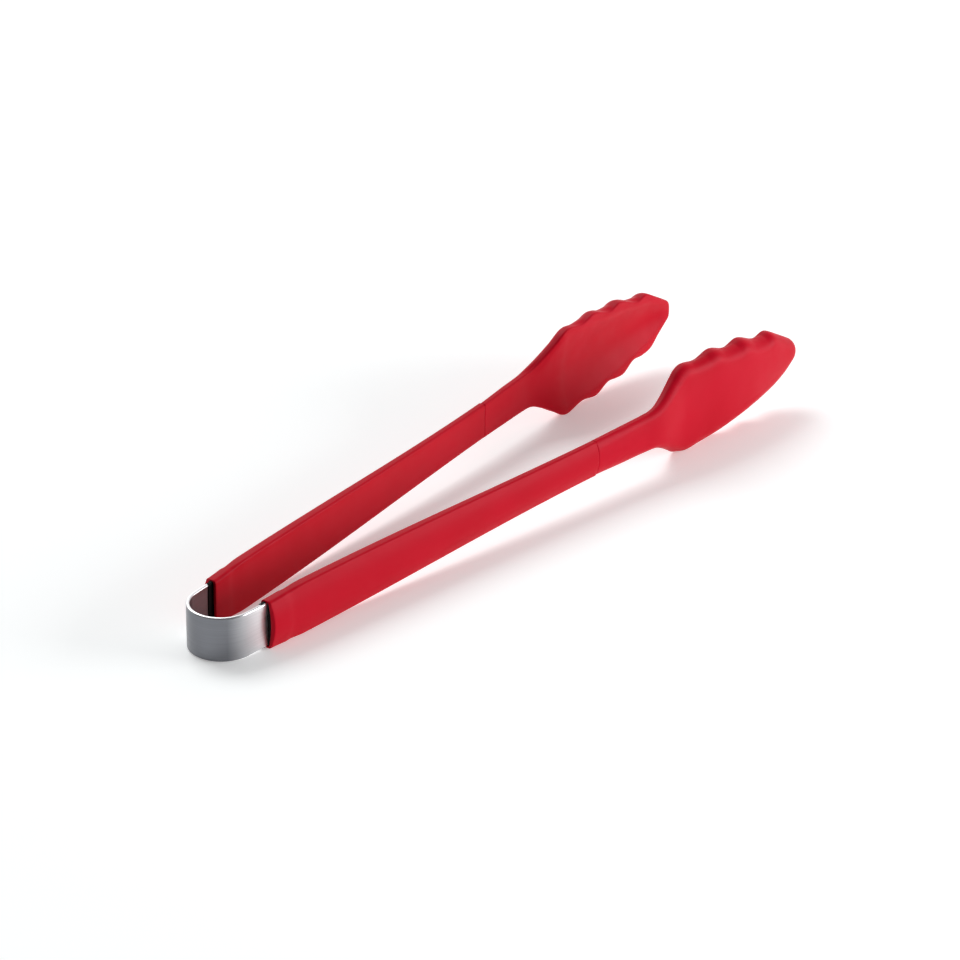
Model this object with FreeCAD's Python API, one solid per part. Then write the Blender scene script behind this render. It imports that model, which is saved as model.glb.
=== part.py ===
import FreeCAD, Part
import math
import os

# Spring loaded kitchen tongs: one steel U band is the spring, and each of its two legs
# is moulded into a nylon arm core that carries a silicone handle sleeve and a silicone
# head cover.  Millimetres.  The part is drawn flat about the bow centre (X along the
# tongs towards the heads, +Y to the left arm, Z across the band), the right arm is the
# mirror image of the left, and the finished assembly is tilted into its resting pose.

# ---- steel band -----------------------------------------------------------------------
BAND_WIDTH = 15.5
BAND_THICKNESS = 1.25
BAND_EDGE_ROUND = 0.5
BOW_OUTER_RADIUS = 11.25
BOW_CENTRE_X = 0.45
BOW_APEX_X = BOW_CENTRE_X - BOW_OUTER_RADIUS
BOW_END_X = 5.4                 # the free bow ends here, just short of the arm core
LEG_LENGTH = 52.0
LEG_HOLE_X = (26.0, 42.0)
LEG_HOLE_RADIUS = 2.2

# ---- arm --------------------------------------------------------------------------------
MOUTH_X = 8.25
COLLAR_END_X = 16.7
JUNCTION_X = 166.5
WIDEST_X = 24.0
MOUTH_HALF_HEIGHT = 8.2
WIDEST_HALF_HEIGHT = 9.0
SHAFT_HALF_HEIGHT = 6.5         # from the junction to the neck
MOUTH_THICKNESS = 3.8           # at the narrow edges, before the crown
SHAFT_THICKNESS = 2.8
MOUTH_CROWN = 1.5               # extra thickness on the centre line of the outer face
SHAFT_CROWN = 1.15
MOUTH_INNER_Y = 9.4
ARM_SLOPE = 0.0700              # direction of the arm at the mouth
ARM_CURVE = 0.0000765           # gentle outward curve towards the head
SIDE_WALL = 0.9                 # silicone over the faces of the core
EDGE_WALL = 0.45                # silicone over the narrow edges of the core
CORNER = 0.7                    # corner radius of the arm section
CORE_CORNER = 0.35
COLLAR_STEP = 0.2               # the mouth collar stands proud by this much all round
JUNCTION_STEP = 0.25            # the head cover stands proud of the sleeve by this much
CORE_TONGUE = 2.0               # core shows this far out of the sleeve inside the steel
CORE_RECESS = 0.5               # and ends this far inside the sleeve outside the steel
CORE_END_RADIUS = 75.0          # both ends are bulged with this radius
CORE_SHAFT_START_X = 5.0
CORE_SHAFT_END_X = 190.0
LOFT_PITCH = 16.0               # longest distance between two arm sections

# ---- head ---------------------------------------------------------------------------------
GRIP_PLANE_X = 216.0            # the rim lies in a plane from here to the tip
GRIP_PLANE_Y = 23.2
GRIP_PLANE_SLOPE = 0.033
NECK_X = 194.0
CREST_HALF_WIDTH = 16.8         # widest lobe, which is also what the heads rest on
CREST_X = 217.7

# Half outlines of the head from junction to nose, above and below: (x, half width).
UPPER_OUTLINE = (
    (JUNCTION_X, SHAFT_HALF_HEIGHT + JUNCTION_STEP),
    (180.0, 6.75),
    (192.5, 6.95),
    (198.5, 7.5),
    (204.0, 9.9),
    (210.0, 13.4),
    (214.0, 15.9),
    (CREST_X, CREST_HALF_WIDTH),
    (226.0, 15.5),
    (234.2, 16.8),
    (243.5, 14.0),
    (251.0, 15.1),
    (261.5, 11.2),
    (267.8, 11.9),
    (274.0, 8.9),
    (281.3, 4.8),
    (283.2, 3.0),
)
LOWER_OUTLINE = UPPER_OUTLINE[:8] + (
    (227.0, 15.3),
    (236.2, 16.6),
    (243.5, 14.1),
    (249.0, 14.7),
    (254.0, 14.8),
    (260.0, 11.8),
    (266.0, 12.0),
    (271.8, 11.0),
    (276.6, 7.4),
    (281.3, 4.2),
    (283.2, 2.8),
)
NOSE_X = 284.0
OUTLINE_PITCH = 2.0             # spacing of the points on the outlines
OUTLINE_SPLIT = 6               # and how many of these spacings one side face takes

# Back of the head: (x, wall at the rim, rise of the shoulder, width of the shoulder, crown).
BACK_STATIONS = (
    (JUNCTION_X - 3.0, 2.35, 0.75, 2.0, 1.1),
    (180.0, 2.25, 0.80, 2.0, 1.1),
    (193.0, 1.95, 1.15, 2.2, 1.1),
    (202.0, 2.05, 1.95, 3.0, 1.0),
    (212.0, 2.30, 2.50, 4.0, 1.0),
    (226.0, 2.50, 3.00, 4.3, 1.1),
    (240.0, 2.60, 3.65, 4.4, 1.4),
    (254.0, 2.50, 4.00, 4.4, 1.4),
    (268.0, 2.30, 3.80, 4.4, 1.1),
    (288.0, 2.00, 3.10, 4.4, 0.6),
)

# The upper edge of the back fills half of each hollow: mean over these steps along X.
BACK_STEPS = (-5.0, -2.5, 0.0, 2.5, 5.0)

# The lower edge of the back sweeps smoothly past the lobes: (x, half width).
LOWER_BACK = UPPER_OUTLINE[:6] + (
    (217.7, 16.4),
    (226.0, 16.3),
    (235.0, 15.8),
    (244.0, 14.8),
    (253.0, 13.5),
    (262.0, 11.9),
    (270.0, 10.1),
    (277.0, 7.5),
    (281.3, 4.8),
    (283.2, 3.0),
)

# Cup scooped out of the gripping face: (x, half width, depth).
CUP_STATIONS = (
    (JUNCTION_X - 3.0, 3.5, 0.0),
    (198.0, 4.5, 0.0),
    (204.0, 7.0, 0.5),
    (210.0, 11.3, 1.4),
    (217.7, 14.8, 2.4),
    (226.0, 14.2, 3.0),
    (235.0, 13.8, 3.4),
    (244.0, 12.6, 3.6),
    (253.0, 11.6, 3.5),
    (262.0, 9.9, 3.1),
    (270.0, 8.2, 2.4),
    (276.0, 5.6, 1.4),
    (281.0, 3.2, 0.4),
    (288.0, 3.0, 0.0),
)
FIELD_HALF_SPAN = 18.0
FIELD_X_STEP = 1.5
FIELD_Z_STEP = 1.0

# Stiffening blade of the core inside the head: (x, half width, edge depth, centre depth).
BLADE_STATIONS = (
    (188.0, 5.3, 1.25, 1.9),
    (196.0, 5.4, 1.35, 2.1),
    (206.0, 6.6, 1.80, 2.8),
    (216.0, 9.6, 2.15, 3.7),
    (230.0, 10.2, 2.45, 4.5),
    (246.0, 9.0, 2.60, 4.9),
    (260.0, 6.0, 2.80, 4.5),
    (268.0, 3.0, 3.30, 3.9),
)
BLADE_THICKNESS = 1.0

V = FreeCAD.Vector
HALF_BAND = BAND_WIDTH / 2.0
BOW_INNER_RADIUS = BOW_OUTER_RADIUS - BAND_THICKNESS
SPLAY = math.atan(ARM_SLOPE)    # the band leaves the bow in the direction of the arm


def eased(x, start, end, first, last):
    """Value that eases from first to last between start and end."""
    t = min(max((x - start) / (end - start), 0.0), 1.0)
    return first + (last - first) * t * t * (3.0 - 2.0 * t)


def arm_inner_y(x):
    """Inner face of the arm between mouth and neck."""
    run = x - MOUTH_X
    return MOUTH_INNER_Y + ARM_SLOPE * run + ARM_CURVE * run * run


def inner_y(x):
    """Inner face of the whole arm, easing from the neck into the gripping plane."""
    if x <= NECK_X:
        return arm_inner_y(x)
    grip = GRIP_PLANE_Y + GRIP_PLANE_SLOPE * (x - GRIP_PLANE_X)
    if x >= GRIP_PLANE_X:
        return grip
    return eased(x, NECK_X, GRIP_PLANE_X, arm_inner_y(x), grip)


def d_section(x, inner, thickness, half_height, crown, corner):
    """Closed D section in the plane of constant x: flat inside, crowned outside."""
    outer = inner + thickness
    diag = corner * (1.0 - math.sqrt(0.5))
    top = half_height
    edges = [Part.makeLine(V(x, inner, corner - top), V(x, inner, top - corner))]
    edges.append(Part.Arc(V(x, inner, top - corner), V(x, inner + diag, top - diag),
                          V(x, inner + corner, top)).toShape())
    edges.append(Part.makeLine(V(x, inner + corner, top), V(x, outer - corner, top)))
    edges.append(Part.Arc(V(x, outer - corner, top), V(x, outer - diag, top - diag),
                          V(x, outer, top - corner)).toShape())
    edges.append(Part.Arc(V(x, outer, top - corner), V(x, outer + crown, 0),
                          V(x, outer, corner - top)).toShape())
    edges.append(Part.Arc(V(x, outer, corner - top), V(x, outer - diag, diag - top),
                          V(x, outer - corner, -top)).toShape())
    edges.append(Part.makeLine(V(x, outer - corner, -top), V(x, inner + corner, -top)))
    edges.append(Part.Arc(V(x, inner + corner, -top), V(x, inner + diag, diag - top),
                          V(x, inner, corner - top)).toShape())
    return Part.Wire(edges)


def arm_section(x, side, edge, corner):
    """Arm section at x, grown by side on its faces and by edge on its narrow rims."""
    if x < WIDEST_X:
        half = eased(x, MOUTH_X, WIDEST_X, MOUTH_HALF_HEIGHT, WIDEST_HALF_HEIGHT)
    else:
        half = eased(x, WIDEST_X, JUNCTION_X, WIDEST_HALF_HEIGHT, SHAFT_HALF_HEIGHT)
    thickness = eased(x, MOUTH_X, JUNCTION_X, MOUTH_THICKNESS, SHAFT_THICKNESS)
    crown = eased(x, MOUTH_X, JUNCTION_X, MOUTH_CROWN, SHAFT_CROWN)
    return d_section(x, arm_inner_y(x) - side, thickness + 2.0 * side, half + edge,
                     crown, corner)


def arm_loft(start, end, side, edge, corner):
    """Smooth arm body between two values of x."""
    count = max(2, math.ceil((end - start) / LOFT_PITCH))
    xs = [start + i * (end - start) / count for i in range(count + 1)]
    return Part.makeLoft([arm_section(x, side, edge, corner) for x in xs], True, False)


def run_y(radius, x):
    """Straight run of the band that is tangent to a bow arc of this radius."""
    return radius / math.cos(SPLAY) + ARM_SLOPE * (x - BOW_CENTRE_X)


def bow_side(radius):
    """Edges of one face of the bow: straight run, arc, straight run."""
    end = run_y(radius, BOW_END_X)
    x = BOW_CENTRE_X - radius * math.sin(SPLAY)
    y = radius * math.cos(SPLAY)
    return [
        Part.makeLine(V(BOW_END_X, -end, 0), V(x, -y, 0)),
        Part.Arc(V(x, -y, 0), V(BOW_CENTRE_X - radius, 0, 0), V(x, y, 0)).toShape(),
        Part.makeLine(V(x, y, 0), V(BOW_END_X, end, 0)),
    ]


def spring_bow():
    """The half round of the band with the short straight run to each arm."""
    edges = bow_side(BOW_OUTER_RADIUS) + bow_side(BOW_INNER_RADIUS)
    for side in (-1, 1):
        outer = V(BOW_END_X, side * run_y(BOW_OUTER_RADIUS, BOW_END_X), 0)
        inner = V(BOW_END_X, side * run_y(BOW_INNER_RADIUS, BOW_END_X), 0)
        edges.append(Part.makeLine(outer, inner))
    face = Part.Face(Part.Wire(Part.__sortEdges__(edges)))
    face.translate(V(0, 0, -HALF_BAND))
    band = face.extrude(V(0, 0, BAND_WIDTH))
    return round_band_edges(band)


def round_band_edges(band):
    """Round the long edges of a band that stands on its narrow side."""
    rims = []
    for edge in band.Edges:
        box = edge.BoundBox
        is_flat = box.ZLength < 0.001
        is_rim = abs(abs(box.ZMax) - HALF_BAND) < 0.001
        is_end = box.XLength < 0.01 and box.YLength < 1.5 * BAND_THICKNESS
        if is_flat and is_rim and not is_end:
            rims.append(edge)
    return band.makeFillet(BAND_EDGE_ROUND, rims)


def spring_leg():
    """Left leg of the band: runs into the arm core, with two holes the nylon fills."""
    depth = run_y(BOW_INNER_RADIUS, MOUTH_X) - MOUTH_INNER_Y
    xs = [MOUTH_X + i * LEG_LENGTH / 5.0 for i in range(6)]
    points = [V(BOW_END_X, run_y(BOW_INNER_RADIUS, BOW_END_X), 0)]
    points += [V(x, arm_inner_y(x) + depth, 0) for x in xs]
    start = V(1, ARM_SLOPE, 0)
    end = V(1, ARM_SLOPE + 2.0 * ARM_CURVE * LEG_LENGTH, 0)
    step = V(0, BAND_THICKNESS / math.cos(SPLAY), 0)
    inner = Part.BSplineCurve()
    inner.interpolate(points, InitialTangent=start, FinalTangent=end)
    outer = Part.BSplineCurve()
    outer.interpolate([p + step for p in points], InitialTangent=start, FinalTangent=end)
    face = Part.Face(Part.Wire([
        inner.toShape(),
        Part.makeLine(points[-1], points[-1] + step),
        outer.toShape(),
        Part.makeLine(points[0] + step, points[0]),
    ]))
    face.translate(V(0, 0, -HALF_BAND))
    leg = round_band_edges(face.extrude(V(0, 0, BAND_WIDTH)))
    for x in LEG_HOLE_X:
        leg = leg.cut(Part.makeCylinder(LEG_HOLE_RADIUS, 20.0, V(x, 5.0, 0), V(0, 1, 0)))
    return leg


def blade():
    """Curved stiffening blade that fills the middle of the head."""
    wires = []
    for x, half, edge, centre in BLADE_STATIONS:
        y = inner_y(x)
        low = y + edge
        high = low + BLADE_THICKNESS
        wires.append(Part.Wire([
            Part.Arc(V(x, low, -half), V(x, y + centre, 0), V(x, low, half)).toShape(),
            Part.makeLine(V(x, low, half), V(x, high, half)),
            Part.Arc(V(x, high, half), V(x, y + centre + BLADE_THICKNESS, 0),
                     V(x, high, -half)).toShape(),
            Part.makeLine(V(x, high, -half), V(x, low, -half)),
        ]))
    return Part.makeLoft(wires, True, False)


def cut_tool(edge_x, from_y):
    """Block that trims the core beyond from_y to a bulged end with its edges at edge_x."""
    bulge = CORE_END_RADIUS - math.sqrt(CORE_END_RADIUS ** 2 - HALF_BAND ** 2)
    end_x = edge_x - bulge
    block = Part.makeBox(20.0, 40.0, 40.0, V(end_x - 18.0, from_y, -20.0))
    nose = Part.makeCylinder(CORE_END_RADIUS, 60.0, V(end_x + CORE_END_RADIUS, -10.0, 0),
                             V(0, 1, 0))
    return block.cut(nose)


def arm_core(leg):
    """Black nylon core: shaft around the steel leg, blade in the head, bulged end."""
    shaft = arm_loft(CORE_SHAFT_START_X, CORE_SHAFT_END_X, -SIDE_WALL, -EDGE_WALL,
                     CORE_CORNER)
    core = shaft.fuse(blade())
    inside = cut_tool(MOUTH_X - CORE_TONGUE, 0.0)
    outside = cut_tool(MOUTH_X + CORE_RECESS, run_y(BOW_OUTER_RADIUS, MOUTH_X) - 0.5)
    core = core.cut(inside).cut(outside)
    return core.cut(leg)


def handle_sleeve(core, leg):
    """Red silicone sleeve with the slightly larger collar at its mouth."""
    grip = arm_loft(MOUTH_X + 1.0, JUNCTION_X, 0.0, 0.0, CORNER)
    collar = arm_loft(MOUTH_X, COLLAR_END_X, COLLAR_STEP, COLLAR_STEP, CORNER)
    return grip.fuse(collar).cut(core).cut(leg)


def along(stations, column, x):
    """Smooth value through one column of a station table (Catmull-Rom in x)."""
    last = len(stations) - 2
    i = 0
    while i < last and x > stations[i + 1][0]:
        i += 1
    before = stations[max(i - 1, 0)]
    low = stations[i]
    high = stations[i + 1]
    after = stations[min(i + 2, last + 1)]
    width = high[0] - low[0]
    t = min(max((x - low[0]) / width, 0.0), 1.0)
    slope_low = (high[column] - before[column]) / (high[0] - before[0]) * width
    slope_high = (after[column] - low[column]) / (after[0] - low[0]) * width
    return ((1 + 2 * t) * (1 - t) ** 2 * low[column] + t * (1 - t) ** 2 * slope_low
            + t * t * (3 - 2 * t) * high[column] + t * t * (t - 1) * slope_high)


def outline_points(stations):
    """Upper half of an outline of the head from the junction to the nose."""
    first = stations[0][0]
    last = stations[-1][0]
    count = math.ceil((last - first) / OUTLINE_PITCH)
    xs = [first + i * (last - first) / count for i in range(count + 1)]
    return [(x, along(stations, 1, x)) for x in xs] + [(NOSE_X, 0.0)]


def outline_prism():
    """Head outline with its lobes, drawn in the XZ plane and pulled through Y."""
    top = [V(x, 0, z) for x, z in outline_points(UPPER_OUTLINE)]
    low = [V(x, 0, -z) for x, z in reversed(outline_points(LOWER_OUTLINE)[:-1])]
    points = top + low
    curve = Part.BSplineCurve()
    curve.interpolate(points)
    cuts = [curve.parameter(p) for p in points[:-1:OUTLINE_SPLIT]] + [curve.LastParameter]
    edges = [curve.toShape(a, b) for a, b in zip(cuts, cuts[1:])]
    wire = Part.Wire(edges + [Part.makeLine(points[-1], points[0])])
    return Part.Face(wire).extrude(V(0, 50.0, 0))


def upper_back(stations):
    """Upper half outline of the back, with shallower hollows than the rim."""
    points = []
    for x, half in outline_points(stations)[:-1]:
        near = [along(stations, 1, x + step) for step in BACK_STEPS]
        points.append((x, max(half, sum(near) / len(near))))
    return points + [(NOSE_X, 0.0)]


def half_at(x, outline):
    """Half width of an outline at x."""
    for (ax, az), (bx, bz) in zip(outline, outline[1:]):
        if x <= bx:
            return az + (bz - az) * max(x - ax, 0.0) / (bx - ax)
    return 0.0


def depth_inside(x, z, outline):
    """Distance inside an outline, zero outside it."""
    if z >= half_at(x, outline):
        return 0.0
    nearest = NOSE_X
    for (ax, az), (bx, bz) in zip(outline, outline[1:]):
        run = (bx - ax) ** 2 + (bz - az) ** 2
        t = min(max(((x - ax) * (bx - ax) + (z - az) * (bz - az)) / run, 0.0), 1.0)
        nearest = min(nearest, math.hypot(x - ax - t * (bx - ax), z - az - t * (bz - az)))
    return nearest


def back_y(x, z, outlines):
    """Back of the head: wall at the rim, rounded shoulder, then a crown to the middle."""
    wall = along(BACK_STATIONS, 1, x)
    rise = along(BACK_STATIONS, 2, x)
    width = along(BACK_STATIONS, 3, x)
    crown = along(BACK_STATIONS, 4, x)
    outline = outlines[0] if z >= 0.0 else outlines[1]
    half = max(half_at(x, outline), 1.0)
    short = max(1.0 - depth_inside(x, abs(z), outline) / width, 0.0)
    crown *= 1.0 - min((z / half) ** 2, 1.0)
    return inner_y(x) + wall + rise * (1.0 - short * short) + crown


def grip_y(x, z, _outlines):
    """Gripping face of the head with its cup."""
    half = along(CUP_STATIONS, 1, x)
    depth = along(CUP_STATIONS, 2, x)
    inside = max(1.0 - (z / half) ** 2, 0.0)
    return inner_y(x) + depth * inside * math.sqrt(inside)


def field_solid(height, push):
    """Solid swept by push from the surface y = height(x, z, outlines) over the head."""
    outlines = (upper_back(UPPER_OUTLINE), outline_points(LOWER_BACK))
    start = JUNCTION_X - 3.0
    end = NOSE_X + 3.0
    columns = math.ceil((end - start) / FIELD_X_STEP)
    rows = math.ceil(2.0 * FIELD_HALF_SPAN / FIELD_Z_STEP)
    grid = []
    for i in range(columns + 1):
        x = start + i * (end - start) / columns
        zs = [FIELD_HALF_SPAN * (2.0 * j / rows - 1.0) for j in range(rows + 1)]
        grid.append([V(x, height(x, z, outlines), z) for z in zs])
    surface = Part.BSplineSurface()
    surface.interpolate(grid)
    return surface.toShape().extrude(V(0, push, 0))


def head_cover(core):
    """Red silicone head: scalloped, cupped inside, crowned outside, closed at the nose."""
    head = outline_prism().common(field_solid(back_y, -60.0))
    return head.common(field_solid(grip_y, 60.0)).cut(core)


def settle(shapes):
    """Tilt the flat drawing until bow and head lobes both touch z = 0, and centre it."""
    rise = CREST_HALF_WIDTH - HALF_BAND
    tilt = math.degrees(math.atan2(rise, CREST_X - BOW_APEX_X))
    for shape in shapes.values():
        shape.rotate(V(0, 0, 0), V(0, 1, 0), -tilt)
    box = Part.makeCompound(list(shapes.values())).optimalBoundingBox(False)
    move = V(-(box.XMin + box.XMax) / 2.0, 0, -box.ZMin)
    for shape in shapes.values():
        shape.translate(move)


def build():
    """All named pieces in the resting pose."""
    leg = spring_leg()
    core = arm_core(leg)
    left = {
        "spring_leg": leg,
        "arm_core": core,
        "handle_sleeve": handle_sleeve(core, leg),
        "head_cover": head_cover(core),
    }
    shapes = {"spring_bow": spring_bow()}
    for name, shape in left.items():
        shapes["left_" + name] = shape
        shapes["right_" + name] = shape.mirror(V(0, 0, 0), V(0, 1, 0))
    settle(shapes)
    return shapes


os.makedirs("parts", exist_ok=True)
for name, shape in build().items():
    shape.exportStep("parts/%s.step" % name)
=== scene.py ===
import math

import bpy
import numpy as np
from mathutils import Matrix, Vector


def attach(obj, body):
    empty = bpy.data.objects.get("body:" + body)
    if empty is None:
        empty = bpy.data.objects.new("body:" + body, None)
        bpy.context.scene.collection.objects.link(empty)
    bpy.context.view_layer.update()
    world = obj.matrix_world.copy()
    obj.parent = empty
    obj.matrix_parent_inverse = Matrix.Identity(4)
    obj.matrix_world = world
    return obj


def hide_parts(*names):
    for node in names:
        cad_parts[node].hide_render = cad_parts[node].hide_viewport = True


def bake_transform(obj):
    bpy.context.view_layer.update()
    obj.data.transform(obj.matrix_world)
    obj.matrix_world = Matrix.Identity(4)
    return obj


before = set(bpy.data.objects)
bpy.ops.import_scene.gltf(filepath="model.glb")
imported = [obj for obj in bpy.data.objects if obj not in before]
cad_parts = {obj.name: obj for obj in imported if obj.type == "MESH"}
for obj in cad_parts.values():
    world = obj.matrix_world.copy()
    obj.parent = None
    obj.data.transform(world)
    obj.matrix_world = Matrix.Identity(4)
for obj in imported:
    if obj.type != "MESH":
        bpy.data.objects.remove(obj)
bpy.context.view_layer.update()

# Spring loaded kitchen tongs.  The shapes are drawn in millimetres in the flat frame of
# the part (origin at the bow, X towards the heads, +Y the left arm), and to_row() puts them
# into the resting pose in metres.  Every build function draws the left arm, and side = -1
# mirrors it for the right one.

# ---- steel band -----------------------------------------------------------------------------
BAND_WIDTH = 15.5
BAND_THICKNESS = 1.25
BAND_ROUND = 0.55
BOW_RADIUS = 11.25
BOW_CENTRE_X = 0.45
RUN_START_X = 0.5               # first ring of the straight run after the bow
LEG_END_X = 60.25
LEG_HOLES_X = (26.0, 42.0)
LEG_HOLE_RADIUS = 2.2
SEAM_ANGLE = 0.001              # a narrow ring keeps the shading whole at the apex
CUTTER_DEPTH = 0.02             # metres, right through the leg
BOW_RINGS = 90
RUN_RINGS = 60

# ---- arm ------------------------------------------------------------------------------------
MOUTH_X = 8.25
COLLAR_END_X = 16.7
JUNCTION_X = 166.5
WIDEST_X = 24.0
MOUTH_HALF_HEIGHT = 8.2
WIDEST_HALF_HEIGHT = 9.0
SHAFT_HALF_HEIGHT = 6.5
MOUTH_THICKNESS = 3.8
SHAFT_THICKNESS = 2.8
MOUTH_CROWN = 1.5
SHAFT_CROWN = 1.15
MOUTH_INNER_Y = 9.4
ARM_SLOPE = 0.0700
ARM_CURVE = 0.0000765
SIDE_WALL = 0.9
EDGE_WALL = 0.45
CORNER = 0.9
COLLAR_CORNER = 1.35
COLLAR_STEP = 0.22
LIP_ROUND = 0.35                # edge of the sleeve's mouth
JUNCTION_ROUND = 0.04           # edge of the sleeve at the head
# shares of the silicone wall: 0 is the face of the core and 1 the outside
LINING_SHARE = 0.05
LIP_INNER_SHARE = 0.3
LIP_OUTER_SHARE = 0.35
JUNCTION_SHARE = 0.1
LINING_CROWN = 0.45             # share of the outer face's crown that the core's face has

# ---- head -----------------------------------------------------------------------------------
GRIP_PLANE_X = 216.0
GRIP_PLANE_Y = 23.2
GRIP_PLANE_SLOPE = 0.033
NECK_X = 194.0
CREST_HALF_WIDTH = 16.8
CREST_X = 217.7
NOSE_X = 284.0
NOSE_LEAVE = 1.3                # how far the nose curve carries on along the sides
NOSE_FULLNESS = 2.9             # and how square it is at its end
RIM_ROUND = 0.75
OUTLINE_POINTS = 300
NOSE_POINTS = 26
HEAD_COLUMNS = 40
RIM_COLUMNS = 3                 # between the gripping face and the back
# half outlines of the gripping face, above and below: (x, half width)
UPPER_OUTLINE = np.array((
    (166.5, 6.46), (180.0, 6.68), (192.5, 6.95), (198.5, 7.5), (204.0, 9.9), (210.0, 13.4),
    (214.0, 15.9), (217.7, 16.8), (226.0, 15.5), (234.2, 16.8), (243.5, 14.0), (251.0, 15.1),
    (261.5, 11.2), (267.8, 11.9), (274.0, 8.9), (281.3, 4.8)))
LOWER_OUTLINE = np.array((
    (166.5, 6.46), (180.0, 6.68), (192.5, 6.95), (198.5, 7.5), (204.0, 9.9), (210.0, 13.4),
    (214.0, 15.9), (217.7, 16.8), (227.0, 15.3), (236.2, 16.6), (243.5, 14.1), (249.0, 14.7),
    (254.0, 14.8), (260.0, 11.8), (266.0, 12.0), (271.8, 11.0), (276.6, 7.4), (281.3, 4.2)))
# lower half outline of the back, which sweeps smoothly past the lobes
LOWER_BACK = np.array((
    (166.5, 6.46), (180.0, 6.68), (192.5, 6.95), (198.5, 7.5), (204.0, 9.9), (210.0, 13.4),
    (217.7, 16.4), (226.0, 16.3), (235.0, 15.8), (244.0, 14.8), (253.0, 13.5), (262.0, 11.9),
    (270.0, 10.1), (277.0, 7.5), (281.3, 4.8)))
# the upper outline of the back is averaged over these steps along x
BACK_STEPS = (-5.0, -2.5, 0.0, 2.5, 5.0)
# back: (x, wall at the rim, rise of the shoulder, width of the shoulder, crown)
HEAD_BACK = np.array((
    (166.5, 1.60, 1.20, 4.5, 1.0), (180.0, 1.90, 1.05, 2.6, 1.1), (193.0, 1.80, 1.25, 2.2, 1.1),
    (202.0, 1.85, 2.05, 3.0, 1.0), (212.0, 1.95, 2.70, 4.0, 1.0), (226.0, 2.10, 3.20, 4.3, 1.1),
    (240.0, 2.20, 3.85, 4.4, 1.4), (254.0, 2.10, 4.20, 4.4, 1.4), (268.0, 1.95, 3.95, 4.4, 1.1),
    (288.0, 1.70, 3.10, 4.4, 0.6)))
# cup: (x, half width, depth)
HEAD_CUP = np.array((
    (163.5, 3.5, 0.0), (198.0, 4.5, 0.0), (204.0, 7.0, 0.5), (210.0, 11.3, 1.4),
    (217.7, 14.8, 2.4), (226.0, 14.2, 3.0), (235.0, 13.8, 3.4), (244.0, 12.6, 3.6),
    (253.0, 11.6, 3.5), (262.0, 9.9, 3.1), (270.0, 8.2, 2.4), (276.0, 5.6, 1.4),
    (281.0, 3.2, 0.4), (288.0, 3.0, 0.0)))

# ---- resting pose ---------------------------------------------------------------------------
HALF_BAND = BAND_WIDTH / 2.0
BOW_APEX_X = BOW_CENTRE_X - BOW_RADIUS
REST_TILT = math.atan2(CREST_HALF_WIDTH - HALF_BAND, CREST_X - BOW_APEX_X)
REST_SHIFT_X = -136.3522
REST_LIFT = 8.176
MM = 0.001

# ---- colours --------------------------------------------------------------------------------
# reflections painted into the steel's colour: dark round the bow, dark red on the inside where
# the red arms are reflected, bright along the leg and on the top rim
BOW_STEEL_PAINTED_DARK_REFLECTION = (0.21, 0.215, 0.235, 1.0)
INSIDE_STEEL_PAINTED_RED_REFLECTION = (0.17, 0.11, 0.115, 1.0)
STEEL_PAINTED_BRIGHT_REFLECTION = (0.93, 0.92, 0.94, 1.0)
STREAK_GREY = (0.86, 0.86, 0.86, 1.0)
WHITE = (1.0, 1.0, 1.0, 1.0)
SLEEVE_REDS = ((0.51, 0.0025, 0.014, 1), (0.55, 0.003, 0.017, 1))
HEAD_REDS = ((0.53, 0.0025, 0.015, 1), (0.57, 0.003, 0.019, 1))
NYLON_BLACKS = ((0.003, 0.002, 0.002, 1), (0.006, 0.004, 0.004, 1))
SILICONE_TINT = (1.0, 0.5, 0.62, 1.0)
FLOOR_WHITE = (0.89, 0.92, 0.92, 1.0)
FLOOR_GLOW = (1.0, 0.985, 0.985, 1.0)
STUDIO_GREY = (0.12, 0.12, 0.125, 1.0)

# most of a noise texture's values lie between these
NOISE_LOW = 0.3
NOISE_HIGH = 0.7
# sockets of the mix node, which has a factor, A, B and result for each type of data
MIX_FACTOR = 0
MIX_COLOUR_A = 6
MIX_COLOUR_B = 7
MIX_COLOUR_RESULT = 2

# ---- camera and light -----------------------------------------------------------------------
CAMERA_AZIMUTH = -53.86
CAMERA_ELEVATION = 24.96
CAMERA_ROLL = 2.16
CAMERA_DISTANCE = 1.3506
CAMERA_TARGET = Vector((0.01633, 0.01344, 0.0))
CAMERA_LENS = 147.2
SENSOR_WIDTH = 36.0
FAR_CLIP = 20.0
FLOOR_REACH = 4.0
FLOOR_EMISSION = 0.30
BACKDROP_FACING = (0.7, 0.7, 0.0)
BACKDROP_STRENGTH = 0.9
# (name, position, target, size, power)
SOFT_BOXES = (
    ("back_light", (0.7, 2.2, 2.8), (0.0, 0.0, 0.0), (2.2, 1.8), 66.0),
    ("side_fill", (0.85, -1.15, 0.34), (0.0, 0.0, 0.02), (1.0, 0.6), 17.0))


def to_row(points):
    """Flat drawing in millimetres to the resting pose in metres."""
    p = np.asarray(points, float)
    c = math.cos(REST_TILT)
    s = math.sin(REST_TILT)
    x = p[..., 0] * c - p[..., 2] * s + REST_SHIFT_X
    z = p[..., 0] * s + p[..., 2] * c + REST_LIFT
    return np.stack([x, p[..., 1], z], -1) * MM


def row_point(x, y, z):
    """One point of the flat drawing in the row frame."""
    return Vector(to_row((x, y, z)))


def eased(x, start, end, first, last):
    """Value that eases from first to last between start and end."""
    t = np.clip((x - start) / (end - start), 0.0, 1.0)
    return first + (last - first) * t * t * (3.0 - 2.0 * t)


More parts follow.
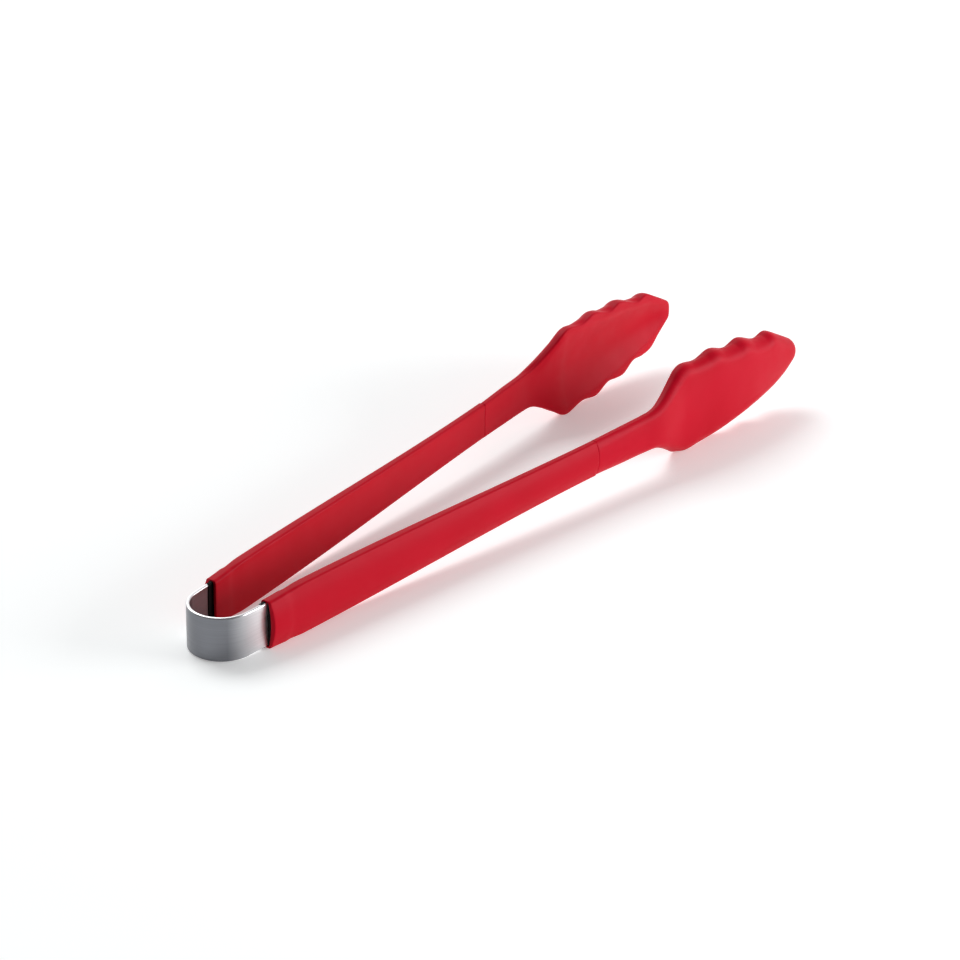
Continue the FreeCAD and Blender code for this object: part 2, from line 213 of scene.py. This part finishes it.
def along(stations, column, x):
    """Smooth value through one column of a station table (Catmull-Rom in x)."""
    xs = stations[:, 0]
    ys = stations[:, column]
    i = np.clip(np.searchsorted(xs, x) - 1, 0, len(xs) - 2)
    before = np.maximum(i - 1, 0)
    after = np.minimum(i + 2, len(xs) - 1)
    width = xs[i + 1] - xs[i]
    t = np.clip((x - xs[i]) / width, 0.0, 1.0)
    low = (ys[i + 1] - ys[before]) / (xs[i + 1] - xs[before]) * width
    high = (ys[after] - ys[i]) / (xs[after] - xs[i]) * width
    return ((1 + 2 * t) * (1 - t) ** 2 * ys[i] + t * (1 - t) ** 2 * low
            + t * t * (3 - 2 * t) * ys[i + 1] + t * t * (t - 1) * high)


def arm_inner_y(x):
    """Inner face of the arm between mouth and neck."""
    run = x - MOUTH_X
    return MOUTH_INNER_Y + ARM_SLOPE * run + ARM_CURVE * run * run


def inner_y(x):
    """Inner face of the whole arm, easing from the neck into the gripping plane."""
    grip = GRIP_PLANE_Y + GRIP_PLANE_SLOPE * (x - GRIP_PLANE_X)
    return eased(x, NECK_X, GRIP_PLANE_X, arm_inner_y(x), grip)


def new_piece(name, points, faces, side, material):
    """Smooth mesh piece from flat points of the left arm, mirrored for the right one."""
    flat = np.array(points, float)
    flat[:, 1] *= side
    if side < 0:
        faces = [tuple(reversed(face)) for face in faces]
    mesh = bpy.data.meshes.new(name)
    mesh.from_pydata([tuple(p) for p in to_row(flat)], [], [tuple(f) for f in faces])
    mesh.validate()
    mesh.shade_smooth()
    mesh.materials.append(material)
    obj = bpy.data.objects.new(name, mesh)
    bpy.context.scene.collection.objects.link(obj)
    return obj


def ring_faces(rings, size, closed):
    """Quads between neighbouring rings of size points; closed joins the last to the first."""
    faces = []
    for i in range(rings if closed else rings - 1):
        a = i * size
        b = (i + 1) % rings * size
        for j in range(size):
            k = (j + 1) % size
            faces.append((a + j, a + k, b + k, b + j))
    return faces


def flatten_caps(piece):
    """Flat shading for the two end caps, which are the last faces of a piece."""
    for cap in piece.data.polygons[-2:]:
        cap.use_smooth = False


def arc(centre_y, centre_z, radius, start, end, count):
    """Points (y, z) of an arc between two angles in degrees."""
    angles = np.radians(np.linspace(start, end, count))
    return [(centre_y + radius * math.cos(a), centre_z + radius * math.sin(a)) for a in angles]


# ---- steel band -----------------------------------------------------------------------------

def band_path():
    """Inner face of the left half of the band from the apex to the end of the leg."""
    splay = math.atan(ARM_SLOPE)
    radius = BOW_RADIUS - BAND_THICKNESS
    path = []
    angles = np.linspace(math.pi, math.pi / 2.0 + splay, BOW_RINGS)
    angles = np.insert(angles, 1, math.pi - SEAM_ANGLE)
    for angle in angles:
        normal = (math.cos(angle), math.sin(angle))
        path.append((BOW_CENTRE_X + radius * normal[0], radius * normal[1], normal))
    depth = radius / math.cos(splay) + ARM_SLOPE * (MOUTH_X - BOW_CENTRE_X) - MOUTH_INNER_Y
    for x in np.linspace(RUN_START_X, LEG_END_X, RUN_RINGS):
        slope = ARM_SLOPE + 2.0 * ARM_CURVE * max(x - MOUTH_X, 0.0)
        y = arm_inner_y(max(x, MOUTH_X)) + depth + ARM_SLOPE * min(x - MOUTH_X, 0.0)
        size = math.hypot(slope, 1.0)
        path.append((x, y, (-slope / size, 1.0 / size)))
    return path


def band_section():
    """Rounded section of the band: (distance from the inner face, height)."""
    r = BAND_ROUND
    t = BAND_THICKNESS
    h = HALF_BAND
    section = [(0.0, z) for z in np.linspace(r - h, h - r, 12)[1:-1]]
    section += arc(r, h - r, r, 180, 90, 7)
    section += arc(t - r, h - r, r, 90, 0, 7)
    section += [(t, z) for z in np.linspace(h - r, r - h, 12)[1:-1]]
    section += arc(t - r, r - h, r, 0, -90, 7)
    section += arc(r, r - h, r, -90, -180, 7)
    return section


def build_band(side, name, body, material):
    """Half of the bow with its leg, for the arm it belongs to."""
    section = band_section()
    points = []
    for x, y, normal in band_path():
        points += [(x + normal[0] * u, y + normal[1] * u, z) for u, z in section]
    rings = len(points) // len(section)
    faces = ring_faces(rings, len(section), False)
    faces.append(tuple(reversed(range(len(section)))))
    faces.append(tuple(range(len(points) - len(section), len(points))))
    flipped = [tuple(reversed(face)) for face in faces]
    band = new_piece(name, points, flipped, side, material)
    flatten_caps(band)
    for x in LEG_HOLES_X:
        punch_hole(band, x, side)
    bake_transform(band)
    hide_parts("spring_bow", body.split("_")[0] + "_spring_leg")


def punch_hole(band, x, side):
    """One of the round holes in the leg that the nylon fills."""
    bpy.ops.mesh.primitive_cylinder_add(vertices=48, radius=LEG_HOLE_RADIUS * MM,
                                        depth=CUTTER_DEPTH,
                                        location=row_point(x, side * arm_inner_y(x), 0),
                                        rotation=(math.pi / 2.0, 0.0, 0.0))
    cutter = bpy.context.object
    hole = band.modifiers.new("hole", "BOOLEAN")
    hole.operation = "DIFFERENCE"
    hole.object = cutter
    graph = bpy.context.evaluated_depsgraph_get()
    cut = bpy.data.meshes.new_from_object(band.evaluated_get(graph))
    band.modifiers.clear()
    band.data = cut
    bpy.data.objects.remove(cutter)


# ---- handle sleeve --------------------------------------------------------------------------

def arm_section(x, side_grow, edge_grow, corner, crown_share):
    """D section of the arm at x: flat inside, crowned outside, rounded corners."""
    half = edge_grow + np.where(
        x < WIDEST_X,
        eased(x, MOUTH_X, WIDEST_X, MOUTH_HALF_HEIGHT, WIDEST_HALF_HEIGHT),
        eased(x, WIDEST_X, JUNCTION_X, WIDEST_HALF_HEIGHT, SHAFT_HALF_HEIGHT))
    thickness = eased(x, MOUTH_X, JUNCTION_X, MOUTH_THICKNESS, SHAFT_THICKNESS)
    crown = crown_share * eased(x, MOUTH_X, JUNCTION_X, MOUTH_CROWN, SHAFT_CROWN)
    inner = arm_inner_y(x) - side_grow
    outer = inner + thickness + 2.0 * side_grow
    reach = half - corner
    radius = (reach * reach + crown * crown) / (2.0 * crown)
    lean = math.degrees(math.asin(reach / radius))
    section = [(inner, z) for z in np.linspace(-reach, reach, 12)[1:-1]]
    section += arc(inner + corner, reach, corner, 180, 90, 8)
    section += arc(outer - corner, reach, corner, 90, lean, 8)
    section += arc(outer + crown - radius, 0, radius, lean, -lean, 32)[1:-1]
    section += arc(outer - corner, -reach, corner, -lean, -90, 8)
    section += arc(inner + corner, -reach, corner, -90, -180, 8)
    return [(x, y, z) for y, z in section]


def sleeve_profile():
    """Skin of the sleeve as (x, share of the wall): 1 on the outside, 0 on the core."""
    profile = [(MOUTH_X + 7.0, LINING_SHARE), (MOUTH_X + 1.5, LINING_SHARE)]
    for angle in np.radians(np.linspace(0, 90, 5)):
        profile.append((MOUTH_X + LIP_ROUND * (1 - math.sin(angle)),
                        LINING_SHARE + LIP_INNER_SHARE * (1 - math.cos(angle))))
    for angle in np.radians(np.linspace(0, 90, 6)):
        profile.append((MOUTH_X + LIP_ROUND * (1 - math.cos(angle)),
                        1.0 - LIP_OUTER_SHARE + LIP_OUTER_SHARE * math.sin(angle)))
    profile += [(x, 1.0) for x in np.linspace(MOUTH_X + 1.0, JUNCTION_X - 0.2, 130)]
    for angle in np.radians(np.linspace(15, 90, 5)):
        profile.append((JUNCTION_X - JUNCTION_ROUND * (1 - math.sin(angle)),
                        1.0 - JUNCTION_SHARE + JUNCTION_SHARE * math.cos(angle)))
    profile += [(x, LINING_SHARE) for x in np.linspace(JUNCTION_X, MOUTH_X + 9.0, 40)]
    return profile


def build_sleeve(side, name, body, material):
    """Silicone sleeve with a rounded mouth, a raised collar and a wall around the core."""
    points = []
    for x, share in sleeve_profile():
        collar = eased(x, COLLAR_END_X - 0.9, COLLAR_END_X + 0.5, COLLAR_STEP, 0.0) * share
        side_grow = SIDE_WALL * (share - 1.0) + collar
        edge_grow = EDGE_WALL * (share - 1.0) + collar
        corner = eased(x, COLLAR_END_X, WIDEST_X, COLLAR_CORNER, CORNER) * (0.5 + 0.5 * share)
        crown_share = LINING_CROWN + (1.0 - LINING_CROWN) * share
        points += arm_section(x, side_grow, edge_grow, corner, crown_share)
    count = len(sleeve_profile())
    faces = ring_faces(count, len(points) // count, True)
    sleeve = new_piece(name, points, faces, side, material)
    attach(sleeve, body)
    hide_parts(body.split("_")[0] + "_handle_sleeve")


# ---- head -----------------------------------------------------------------------------------

def head_outline(stations):
    """Half outline of the head from the junction to the nose, closely spaced."""
    xs = np.linspace(stations[0, 0], stations[-1, 0], OUTLINE_POINTS)
    body = np.stack([xs, along(stations, 1, xs)], -1)
    start = body[-1]
    end = np.array((NOSE_X, 0.0))
    leave = start + (body[-1] - body[-2]) / (xs[-1] - xs[-2]) * NOSE_LEAVE
    arrive = end + np.array((0.0, NOSE_FULLNESS))
    t = np.linspace(0.0, 1.0, NOSE_POINTS)[1:, None]
    nose = ((1 - t) ** 3 * start + 3 * (1 - t) ** 2 * t * leave
            + 3 * (1 - t) * t * t * arrive + t ** 3 * end)
    return np.concatenate([body, nose])


def upper_back(outline):
    """Upper outline of the back, which fills half of each hollow between the lobes."""
    near = [np.interp(outline[:, 0] + step, outline[:, 0], outline[:, 1]) for step in BACK_STEPS]
    filled = np.maximum(outline[:, 1], np.mean(near, axis=0))
    filled = np.where(outline[:, 0] < UPPER_OUTLINE[-1, 0], filled, outline[:, 1])
    return np.stack([outline[:, 0], filled], -1)


def rim_distance(x, z, outline):
    """Distance of points inside the head from its outline."""
    a = outline[:-1]
    d = outline[1:] - a
    p = np.stack([x, np.abs(z)], -1)[..., None, :] - a
    t = np.clip((p * d).sum(-1) / (d * d).sum(-1), 0.0, 1.0)
    return np.sqrt(((p - d * t[..., None]) ** 2).sum(-1)).min(-1)


def quarter_round(distance, radius):
    """Height of a quarter round above its foot, at a distance from the rim."""
    short = np.clip(1.0 - distance / radius, 0.0, 1.0)
    return np.sqrt(1.0 - short * short)


def face_grid(upper, lower, spread):
    """Grid between two half outlines, at every second point: x, z and distance to the edge."""
    x = np.repeat(upper[:-1:2, :1], len(spread), 1)
    half = np.where(spread > 0.0, upper[:-1:2, 1:], lower[:-1:2, 1:])
    z = half * spread
    distance = np.where(spread > 0.0, rim_distance(x, z, upper), rim_distance(x, z, lower))
    distance[:, 0] = 0.0
    distance[:, -1] = 0.0
    return x, z, distance


def grip_face(upper, lower, spread):
    """Gripping face with its rounded rim and its cup, as a grid of points."""
    x, z, distance = face_grid(upper, lower, spread)
    cup_half = along(HEAD_CUP, 1, x)
    inside = np.clip(1.0 - (z / cup_half) ** 2, 0.0, 1.0)
    y = inner_y(x) + along(HEAD_CUP, 2, x) * inside ** 1.5
    y = y + RIM_ROUND * (1.0 - quarter_round(distance, RIM_ROUND))
    return np.stack([x, y, z], -1)


def back_face(upper, lower, spread):
    """Back of the head: wall at the rim, rounded shoulder and a crown, as a grid of points."""
    x, z, distance = face_grid(upper, lower, spread)
    crown = along(HEAD_BACK, 4, x) * (1.0 - spread ** 2)
    shoulder = along(HEAD_BACK, 2, x) * quarter_round(distance, along(HEAD_BACK, 3, x))
    y = inner_y(x) + along(HEAD_BACK, 1, x) + shoulder + crown
    return np.stack([x, y, z], -1)


def build_head(side, name, body, material):
    """Silicone head: lobed rim, cupped inside, rounded back with softer lobes."""
    spread = np.sin(np.linspace(-1.0, 1.0, HEAD_COLUMNS) * math.pi / 2.0)
    upper = head_outline(UPPER_OUTLINE)
    lower = head_outline(LOWER_OUTLINE)
    grip = grip_face(upper, lower, spread)
    back = back_face(upper_back(upper), head_outline(LOWER_BACK), spread)
    share = np.linspace(0.0, 1.0, RIM_COLUMNS + 2)[1:-1, None]
    points = []
    for front, rear in zip(grip, back):
        points += list(front)
        points += list(front[-1] + (rear[-1] - front[-1]) * share)
        points += list(rear[::-1])
        points += list(rear[0] + (front[0] - rear[0]) * share)
    size = 2 * (len(spread) + len(share))
    faces = ring_faces(len(grip), size, False)
    faces.append(tuple(reversed(range(size))))
    faces.append(tuple(range(len(points) - size, len(points))))
    head = new_piece(name, points, faces, side, material)
    flatten_caps(head)
    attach(head, body)
    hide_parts(body.split("_")[0] + "_head_cover")


# ---- materials ------------------------------------------------------------------------------

def new_material(name):
    """New material with its node tree and main shader."""
    material = bpy.data.materials.new(name)
    material.use_nodes = True
    tree = material.node_tree
    return material, tree, tree.nodes["Principled BSDF"]


def noise(tree, scale, detail, stretch=(1.0, 1.0, 1.0), tilt=0.0):
    """Noise in object space; stretch scales the axes after turning them by tilt about Y."""
    place = tree.nodes.new("ShaderNodeTexCoord")
    turn = tree.nodes.new("ShaderNodeMapping")
    turn.inputs["Rotation"].default_value = (0.0, tilt, 0.0)
    grow = tree.nodes.new("ShaderNodeMapping")
    grow.inputs["Scale"].default_value = stretch
    texture = tree.nodes.new("ShaderNodeTexNoise")
    texture.inputs["Scale"].default_value = scale
    texture.inputs["Detail"].default_value = detail
    tree.links.new(place.outputs["Object"], turn.inputs["Vector"])
    tree.links.new(turn.outputs["Vector"], grow.inputs["Vector"])
    tree.links.new(grow.outputs["Vector"], texture.inputs["Vector"])
    return texture.outputs["Fac"]


def ramp(tree, value, low, high):
    """Colour ramp between two (position, colour) stops."""
    node = tree.nodes.new("ShaderNodeValToRGB")
    for stop, (position, colour) in zip(node.color_ramp.elements, (low, high)):
        stop.position = position
        stop.color = colour
    tree.links.new(value, node.inputs["Fac"])
    return node.outputs["Color"]


def span(tree, value, low, high):
    """Noise stretched to lie between low and high."""
    node = tree.nodes.new("ShaderNodeMapRange")
    node.inputs["From Min"].default_value = NOISE_LOW
    node.inputs["From Max"].default_value = NOISE_HIGH
    node.inputs["To Min"].default_value = low
    node.inputs["To Max"].default_value = high
    tree.links.new(value, node.inputs["Value"])
    return node.outputs["Result"]


def bump(tree, shader, height, strength, distance):
    """Fine relief on the shader's normal."""
    node = tree.nodes.new("ShaderNodeBump")
    node.inputs["Strength"].default_value = strength
    node.inputs["Distance"].default_value = distance
    tree.links.new(height, node.inputs["Height"])
    tree.links.new(node.outputs["Normal"], shader.inputs["Normal"])


def silicone(name, reds):
    """Satin red silicone: faint clouding and a fine moulded skin."""
    material, tree, shader = new_material(name)
    cloud = noise(tree, 38.0, 3.0)
    colour = ramp(tree, cloud, (NOISE_LOW, reds[0]), (NOISE_HIGH, reds[1]))
    tree.links.new(colour, shader.inputs["Base Color"])
    tree.links.new(span(tree, noise(tree, 160.0, 4.0), 0.40, 0.48), shader.inputs["Roughness"])
    bump(tree, shader, noise(tree, 2600.0, 2.0), 0.12, 0.00005)
    shader.inputs["Specular IOR Level"].default_value = 0.10
    shader.inputs["Specular Tint"].default_value = SILICONE_TINT
    return material


def mixed(tree, mode, factor, first, second):
    """Two colours mixed by a factor."""
    node = tree.nodes.new("ShaderNodeMix")
    node.data_type = "RGBA"
    node.blend_type = mode
    for socket, value in ((MIX_FACTOR, factor), (MIX_COLOUR_A, first), (MIX_COLOUR_B, second)):
        if isinstance(value, (float, tuple)):
            node.inputs[socket].default_value = value
        else:
            tree.links.new(value, node.inputs[socket])
    return node.outputs[MIX_COLOUR_RESULT]


def stretched(tree, value, start, end):
    """Value that runs from 0 at start to 1 at end."""
    node = tree.nodes.new("ShaderNodeMapRange")
    node.inputs["From Min"].default_value = start
    node.inputs["From Max"].default_value = end
    tree.links.new(value, node.inputs["Value"])
    return node.outputs["Result"]


def maths(tree, operation, first, second):
    """Result of a maths node on two values or outputs."""
    node = tree.nodes.new("ShaderNodeMath")
    node.operation = operation
    for socket, value in zip(node.inputs, (first, second)):
        if isinstance(value, float):
            socket.default_value = value
        else:
            tree.links.new(value, socket)
    return node.outputs["Value"]


def bow_axes(tree):
    """Position in the flat drawing, in metres from the centre of the bow."""
    place = tree.nodes.new("ShaderNodeTexCoord")
    turn = tree.nodes.new("ShaderNodeMapping")
    centre = Matrix.Rotation(REST_TILT, 3, "Y") @ row_point(BOW_CENTRE_X, 0, 0)
    turn.inputs["Rotation"].default_value = (0.0, REST_TILT, 0.0)
    turn.inputs["Location"].default_value = -centre
    axes = tree.nodes.new("ShaderNodeSeparateXYZ")
    tree.links.new(place.outputs["Object"], turn.inputs["Vector"])
    tree.links.new(turn.outputs["Vector"], axes.inputs["Vector"])
    return axes.outputs["X"], axes.outputs["Y"], axes.outputs["Z"]


def band_depth(tree, x, y):
    """0 on the inside of the band and 1 on its outside."""
    behind = maths(tree, "MINIMUM", x, 0.0)
    square = maths(tree, "ADD", maths(tree, "MULTIPLY", behind, behind),
                   maths(tree, "MULTIPLY", y, y))
    lean = maths(tree, "MULTIPLY", maths(tree, "MAXIMUM", x, 0.0), ARM_SLOPE)
    radius = maths(tree, "SUBTRACT", maths(tree, "POWER", square, 0.5), lean)
    return stretched(tree, radius, (BOW_RADIUS - BAND_THICKNESS + 0.15) * MM,
                     (BOW_RADIUS - BAND_ROUND) * MM)


def brushed_steel():
    """Stainless steel brushed along the band, with reflections painted into its colour: dark
    round the bow, dark red inside, bright along the leg, and a painted highlight on the top rim.
    """
    material, tree, shader = new_material("brushed_steel")
    grain = noise(tree, 1.0, 5.0, (45.0, 45.0, 9000.0), REST_TILT)
    patch = noise(tree, 1.0, 3.0, (90.0, 90.0, 900.0), REST_TILT)
    x, y, z = bow_axes(tree)
    length = stretched(tree, x, -BOW_RADIUS * MM, (MOUTH_X - BOW_CENTRE_X) * MM)
    # painted highlight: the top rim of the band is lightened to the bright steel colour
    edge = stretched(tree, z, (HALF_BAND - 0.45) * MM, (HALF_BAND - 0.15) * MM)
    # painted reflection: the outside of the steel is dark round the bow and brightens along the
    # leg
    outside = ramp(tree, length, (0.20, BOW_STEEL_PAINTED_DARK_REFLECTION), (0.80, STEEL_PAINTED_BRIGHT_REFLECTION))
    # painted reflection of the red arms, dark red, on the inside of the band
    faces = mixed(tree, "MIX", band_depth(tree, x, y), INSIDE_STEEL_PAINTED_RED_REFLECTION, outside)
    steel_with_painted_light = mixed(tree, "MIX", edge, faces, STEEL_PAINTED_BRIGHT_REFLECTION)
    streaks = ramp(tree, grain, (NOISE_LOW, STREAK_GREY), (NOISE_HIGH, WHITE))
    colour = mixed(tree, "MULTIPLY", 1.0, steel_with_painted_light, streaks)
    tree.links.new(colour, shader.inputs["Base Color"])
    tree.links.new(span(tree, patch, 0.28, 0.36), shader.inputs["Roughness"])
    bump(tree, shader, grain, 0.2, 0.00001)
    shader.inputs["Metallic"].default_value = 1.0
    return material


def moulded_nylon():
    """Black moulded nylon with a faint grain."""
    material, tree, shader = new_material("black_nylon")
    grain = noise(tree, 400.0, 3.0)
    colour = ramp(tree, grain, (NOISE_LOW, NYLON_BLACKS[0]), (NOISE_HIGH, NYLON_BLACKS[1]))
    tree.links.new(colour, shader.inputs["Base Color"])
    tree.links.new(span(tree, noise(tree, 700.0, 3.0), 0.42, 0.55), shader.inputs["Roughness"])
    bump(tree, shader, noise(tree, 3500.0, 2.0), 0.25, 0.00004)
    shader.inputs["Specular IOR Level"].default_value = 0.05
    return material


# ---- studio ---------------------------------------------------------------------------------

def add_camera():
    """Long lens from the bow end, a little above the tongs."""
    azimuth = math.radians(CAMERA_AZIMUTH)
    elevation = math.radians(CAMERA_ELEVATION)
    roll = math.radians(CAMERA_ROLL)
    back = Vector((math.sin(azimuth) * math.cos(elevation),
                   -math.cos(azimuth) * math.cos(elevation),
                   math.sin(elevation)))
    right = Vector((math.cos(azimuth), math.sin(azimuth), 0.0))
    up = back.cross(right)
    tilted_right = right * math.cos(roll) + up * math.sin(roll)
    tilted_up = up * math.cos(roll) - right * math.sin(roll)
    camera = bpy.data.objects.new("camera", bpy.data.cameras.new("camera"))
    bpy.context.scene.collection.objects.link(camera)
    axes = Matrix((tilted_right, tilted_up, back)).transposed().to_4x4()
    camera.matrix_world = Matrix.Translation(CAMERA_TARGET + back * CAMERA_DISTANCE) @ axes
    camera.data.lens = CAMERA_LENS
    camera.data.sensor_width = SENSOR_WIDTH
    camera.data.clip_end = FAR_CLIP
    bpy.context.scene.camera = camera


def add_soft_box(name, position, target, size, power):
    """Large rectangular light aimed at a point."""
    lamp = bpy.data.lights.new(name, "AREA")
    lamp.shape = "RECTANGLE"
    lamp.size = size[0]
    lamp.size_y = size[1]
    lamp.energy = power
    obj = bpy.data.objects.new(name, lamp)
    bpy.context.scene.collection.objects.link(obj)
    obj.location = position
    aim = Vector(target) - Vector(position)
    obj.rotation_euler = aim.to_track_quat("-Z", "Y").to_euler()


def add_floor():
    """Plain white floor that glows a little."""
    r = FLOOR_REACH
    corners = [(-r, -r, 0), (r, -r, 0), (r, r, 0), (-r, r, 0)]
    mesh = bpy.data.meshes.new("floor")
    mesh.from_pydata(corners, [], [(0, 1, 2, 3)])
    material, _tree, shader = new_material("floor_white")
    shader.inputs["Base Color"].default_value = FLOOR_WHITE
    shader.inputs["Roughness"].default_value = 0.85
    shader.inputs["Specular IOR Level"].default_value = 0.0
    shader.inputs["Emission Color"].default_value = FLOOR_GLOW
    shader.inputs["Emission Strength"].default_value = FLOOR_EMISSION
    mesh.materials.append(material)
    obj = bpy.data.objects.new("floor", mesh)
    bpy.context.scene.collection.objects.link(obj)


def light_studio():
    """White backdrop behind the tongs, darker in front, with two soft boxes."""
    world = bpy.data.worlds.new("studio")
    bpy.context.scene.world = world
    world.use_nodes = True
    tree = world.node_tree
    place = tree.nodes.new("ShaderNodeTexCoord")
    facing = tree.nodes.new("ShaderNodeVectorMath")
    facing.operation = "DOT_PRODUCT"
    facing.inputs[1].default_value = BACKDROP_FACING
    tree.links.new(place.outputs["Generated"], facing.inputs[0])
    dim = ramp(tree, facing.outputs["Value"], (0.0, STUDIO_GREY), (0.75, WHITE))
    shader = tree.nodes["Background"]
    tree.links.new(dim, shader.inputs["Color"])
    shader.inputs["Strength"].default_value = BACKDROP_STRENGTH
    for soft_box in SOFT_BOXES:
        add_soft_box(*soft_box)
    bpy.context.scene.view_settings.view_transform = "Standard"


# ---- scene ----------------------------------------------------------------------------------

add_camera()
add_floor()
light_studio()

steel = brushed_steel()
nylon = moulded_nylon()
sleeve_red = silicone("sleeve_silicone_red", SLEEVE_REDS)
head_red = silicone("head_silicone_red", HEAD_REDS)

for arm, side in (("left", 1), ("right", -1)):
    body = arm + "_arm"
    build_band(side, "steel_band_" + arm, body, steel)
    build_sleeve(side, "silicone_sleeve_" + arm, body, sleeve_red)
    build_head(side, "silicone_head_" + arm, body, head_red)
    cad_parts[arm + "_arm_core"].data.materials[0] = nylon
